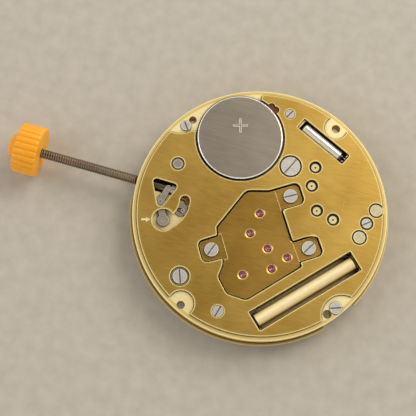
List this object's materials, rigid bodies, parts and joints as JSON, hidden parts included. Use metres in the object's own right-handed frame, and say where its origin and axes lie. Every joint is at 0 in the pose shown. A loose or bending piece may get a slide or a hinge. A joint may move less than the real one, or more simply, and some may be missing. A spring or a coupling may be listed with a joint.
{
  "type": "quartz watch movement",
  "caption": "Round gilt quartz watch movement seen from the battery side, with its button cell, jewelled train bridge, motor coil and a long stem with a service crown.",
  "frame": {"origin": "on the movement's axis, the hour hand's axis, at the level of the dial seat", "axes": "+Z towards the battery side, away from the dial; the winding stem points along -X; 6 o'clock is at -Y; the hand pipes point along -Z"},
  "size_m": [0.0359, 0.0238, 0.0047],
  "materials": {
    "gilt_main_plate": "fine matt gilt, bright on its bevels",
    "gilt_cover": "straight-grained dull gilt, bright on its bevels",
    "gilt_bridge": "straight-grained darker gilt, bright on its bevels",
    "screw_steel": "polished, nickel plated",
    "gilt_pin": "polished gilt",
    "keyless_steel": "fine brushed",
    "stem_steel": "turned, threaded and polished",
    "pinion_steel": "polished",
    "synthetic_ruby": "polished, translucent red",
    "bush_brass": "polished",
    "wheel_brass": "gilt",
    "motion_cover_brass": "brushed gilt",
    "spring_copper": "bright rolled copper alloy",
    "soft_magnetic_sheet": "bright annealed nickel-iron sheet",
    "enamelled_copper_wire": "enamelled copper wire, closely wound",
    "terminal_tab": "amber laminate with tinned joints",
    "carrier_plastic": "moulded, matt",
    "circuit_laminate": "dark laminate",
    "gold_contact": "gold plated",
    "chip_resin": "moulded resin",
    "quartz_can_metal": "drawn and nickel plated",
    "seal_glass": "fused glass seal",
    "tinned_wire": "tinned wire",
    "insulating_film": "thin film",
    "contact_bronze": "rolled spring bronze",
    "cell_case_steel": "satin top, polished rim",
    "cell_cap_steel": "polished",
    "cell_gasket_nylon": "moulded nylon",
    "cell_pellet": "pressed powder",
    "rare_earth_magnet": "ground sintered magnet",
    "crown_plastic": "moulded, ribbed, orange"
  },
  "bodies": {
    "movement": {"main_plate": "gilt_main_plate", "cover_plate": "gilt_cover", "train_bridge": "gilt_bridge", "bridge_screws": "screw_steel", "cell_clamp_screw": "screw_steel", "cover_screws": "screw_steel", "dial_foot_screws": "screw_steel", "cover_pins": "gilt_pin", "keyless_pin": "keyless_steel", "keyless_studs": "keyless_steel", "upper_jewels": "synthetic_ruby", "lower_jewels": "synthetic_ruby", "centre_bush": "bush_brass", "seconds_bush": "bush_brass", "motion_work_cover": "motion_cover_brass", "motion_work_screws": "screw_steel", "yoke_spring": "spring_copper", "stator": "soft_magnetic_sheet", "coil_core": "soft_magnetic_sheet", "coil_winding": "enamelled_copper_wire", "coil_terminal": "terminal_tab", "module_carrier": "carrier_plastic", "circuit_board": "circuit_laminate", "test_pads": "gold_contact", "timing_chip": "chip_resin", "quartz_can": "quartz_can_metal", "quartz_seal": "seal_glass", "quartz_leads": "tinned_wire", "cell_insulator": "insulating_film", "negative_contact": "contact_bronze", "positive_contact": "contact_bronze"},
    "rotor": {"rotor_magnet": "rare_earth_magnet", "rotor_arbor": "pinion_steel"},
    "intermediate": {"intermediate_wheel": "wheel_brass", "intermediate_arbor": "pinion_steel"},
    "seconds": {"seconds_wheel": "wheel_brass", "seconds_arbor": "pinion_steel"},
    "third": {"third_wheel": "wheel_brass", "third_arbor": "pinion_steel"},
    "reduction": {"reduction_wheel": "wheel_brass", "reduction_arbor": "pinion_steel"},
    "centre": {"centre_wheel": "wheel_brass", "centre_arbor": "pinion_steel", "cannon_pinion": "pinion_steel"},
    "minute": {"minute_wheel": "wheel_brass"},
    "hour": {"hour_wheel": "wheel_brass"},
    "setting": {"setting_wheel": "wheel_brass"},
    "stem_setting": {"stem_wheel": "wheel_brass"},
    "yoke_body": {"yoke": "keyless_steel"},
    "clutch": {"sliding_pinion": "keyless_steel"},
    "winding_stem": {"stem": "stem_steel", "crown": "crown_plastic"},
    "lever": {"setting_lever": "keyless_steel"},
    "cell": {"cell_case": "cell_case_steel", "cell_gasket": "cell_gasket_nylon", "cell_anode_cap": "cell_cap_steel", "cell_cathode": "cell_pellet"}
  },
  "joints": [
    {"name": "seconds_turn", "type": "hinge", "parent": "movement", "child": "seconds", "pos_m": [0, -0.00587, 0.0008], "axis": [0, 0, 1], "continuous": true},
    {"name": "intermediate_turn", "type": "hinge", "parent": "movement", "child": "intermediate", "pos_m": [0.00238, -0.00464, 0.0008], "axis": [0, 0, 1], "continuous": true},
    {"name": "rotor_turn", "type": "hinge", "parent": "movement", "child": "rotor", "pos_m": [0.00347, -0.00324, 0.0008], "axis": [0, 0, 1], "continuous": true},
    {"name": "third_turn", "type": "hinge", "parent": "movement", "child": "third", "pos_m": [0.00154, -0.00294, 0.0008], "axis": [0, 0, 1], "continuous": true},
    {"name": "reduction_turn", "type": "hinge", "parent": "movement", "child": "reduction", "pos_m": [-0.00035, -0.00203, 0.0008], "axis": [0, 0, 1], "continuous": true},
    {"name": "centre_turn", "type": "hinge", "parent": "movement", "child": "centre", "pos_m": [0, 0, 0.0008], "axis": [0, 0, 1], "continuous": true},
    {"name": "minute_wheel_turn", "type": "hinge", "parent": "movement", "child": "minute", "pos_m": [-0.00192, 0, 0.0008], "axis": [0, 0, 1], "continuous": true},
    {"name": "hour_wheel_turn", "type": "hinge", "parent": "movement", "child": "hour", "pos_m": [0, 0, 0.0008], "axis": [0, 0, 1], "continuous": true},
    {"name": "setting_wheel_turn", "type": "hinge", "parent": "movement", "child": "setting", "pos_m": [-0.00428, 0, 0.0008], "axis": [0, 0, 1], "continuous": true},
    {"name": "stem_wheel_turn", "type": "hinge", "parent": "movement", "child": "stem_setting", "pos_m": [-0.0062, 0, 0.0008], "axis": [0, 0, 1], "continuous": true},
    {"name": "yoke_shift", "type": "slide", "parent": "movement", "child": "yoke_body", "axis": [1, 0, 0], "range_m": [0, 0.00035]},
    {"name": "crown_turn", "type": "hinge", "parent": "yoke_body", "child": "clutch", "pos_m": [-0.008, 0, 0.00085], "axis": [1, 0, 0], "continuous": true},
    {"name": "stem_pull", "type": "slide", "parent": "clutch", "child": "winding_stem", "axis": [-1, 0, 0], "range_m": [0, 0.00105]},
    {"name": "setting_lever_turn", "type": "hinge", "parent": "movement", "child": "lever", "pos_m": [-0.00905, -0.00145, 0.00139], "axis": [0, 0, 1], "range_deg": [0, 28]},
    {"name": "cell_lift", "type": "slide", "parent": "movement", "child": "cell", "axis": [0, 0, 1], "range_m": [0, 0.003]}
  ],
  "couplings": [
    {"joint": "intermediate_turn", "follows": "seconds_turn", "ratio": -6},
    {"joint": "rotor_turn", "follows": "seconds_turn", "ratio": 30},
    {"joint": "third_turn", "follows": "seconds_turn", "ratio": 0.9375},
    {"joint": "reduction_turn", "follows": "seconds_turn", "ratio": -0.125},
    {"joint": "centre_turn", "follows": "seconds_turn", "ratio": 0.016667},
    {"joint": "minute_wheel_turn", "follows": "seconds_turn", "ratio": -0.0055556},
    {"joint": "hour_wheel_turn", "follows": "seconds_turn", "ratio": 0.0013889},
    {"joint": "setting_wheel_turn", "follows": "seconds_turn", "ratio": 0.0086957},
    {"joint": "stem_wheel_turn", "follows": "seconds_turn", "ratio": -0.008},
    {"joint": "yoke_shift", "follows": "stem_pull", "ratio": 0.33333},
    {"joint": "setting_lever_turn", "follows": "stem_pull", "rad_per_m": 465.42}
  ]
}
